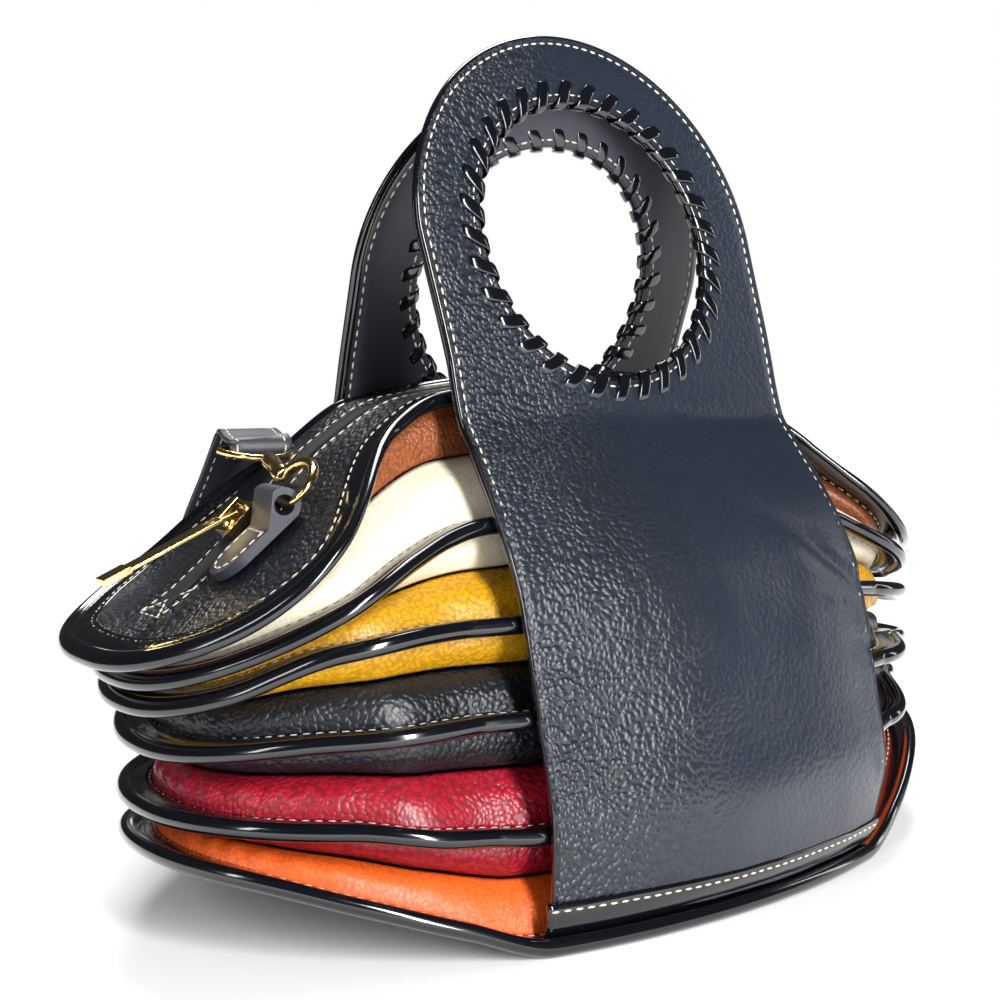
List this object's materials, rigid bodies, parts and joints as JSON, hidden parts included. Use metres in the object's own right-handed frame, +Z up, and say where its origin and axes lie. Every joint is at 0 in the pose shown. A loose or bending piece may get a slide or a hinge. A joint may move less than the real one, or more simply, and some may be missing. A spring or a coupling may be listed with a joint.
{
  "type": "accordion handbag",
  "caption": "Leather handbag of piped leaves fanned like an accordion between tall front and back panels with round laced hand holes, zip top, clip clasps and shoulder strap",
  "frame": {"origin": "on the floor under the middle of the base, on the base's flat underside", "axes": "+X along the bag to its right end as seen from the front, +Y to the back, +Z up"},
  "size_m": [0.3317, 0.2079, 0.2705],
  "materials": {
    "navy_leather": "semi-gloss large soft pebble grain, blue-black",
    "black_leather": "semi-gloss pebble grain, black",
    "smooth_leather": "smooth, satin, blue-black",
    "patent_binding": "glossy patent, black",
    "brown_leather": "fine grain, tan brown",
    "cream_leather": "fine grain, cream",
    "mustard_leather": "fine grain, mustard yellow",
    "red_leather": "pebble grain, deep red",
    "orange_leather": "fine grain, bright orange",
    "gold_metal": "polished pale gold",
    "zip_fabric": "black woven tape with coil teeth"
  },
  "bodies": {
    "bag": {"binding_1": "patent_binding", "binding_2": "patent_binding", "binding_3": "patent_binding", "binding_4": "patent_binding", "binding_5": "patent_binding", "binding_6": "patent_binding", "top_leaf": "black_leather", "brown_leaf_face": "brown_leather", "cream_leaf": "cream_leather", "yellow_leaf": "mustard_leather", "black_leaf": "black_leather", "red_leaf": "red_leather", "orange_leaf_face": "orange_leather", "base_panel": "black_leather", "front_panel": "navy_leather", "front_handle_lining": "smooth_leather", "front_lacing": "patent_binding", "back_panel": "navy_leather", "back_handle_lining": "smooth_leather", "back_lacing": "patent_binding", "zip_tape": "zip_fabric", "zip_slider": "gold_metal", "left_tab": "smooth_leather", "right_tab": "smooth_leather", "clasp_hook": "gold_metal", "clasp_gate": "gold_metal", "clasp_eye": "gold_metal", "right_clasp": "gold_metal", "strap": "smooth_leather"},
    "zip_pull": {"zip_pull": "gold_metal"}
  },
  "joints": [
    {"name": "zip_pull_hinge", "type": "hinge", "parent": "bag", "child": "zip_pull", "pos_m": [-0.12263, 0, 0.11895], "axis": [0, 1, 0], "range_deg": [-12, 125]}
  ]
}
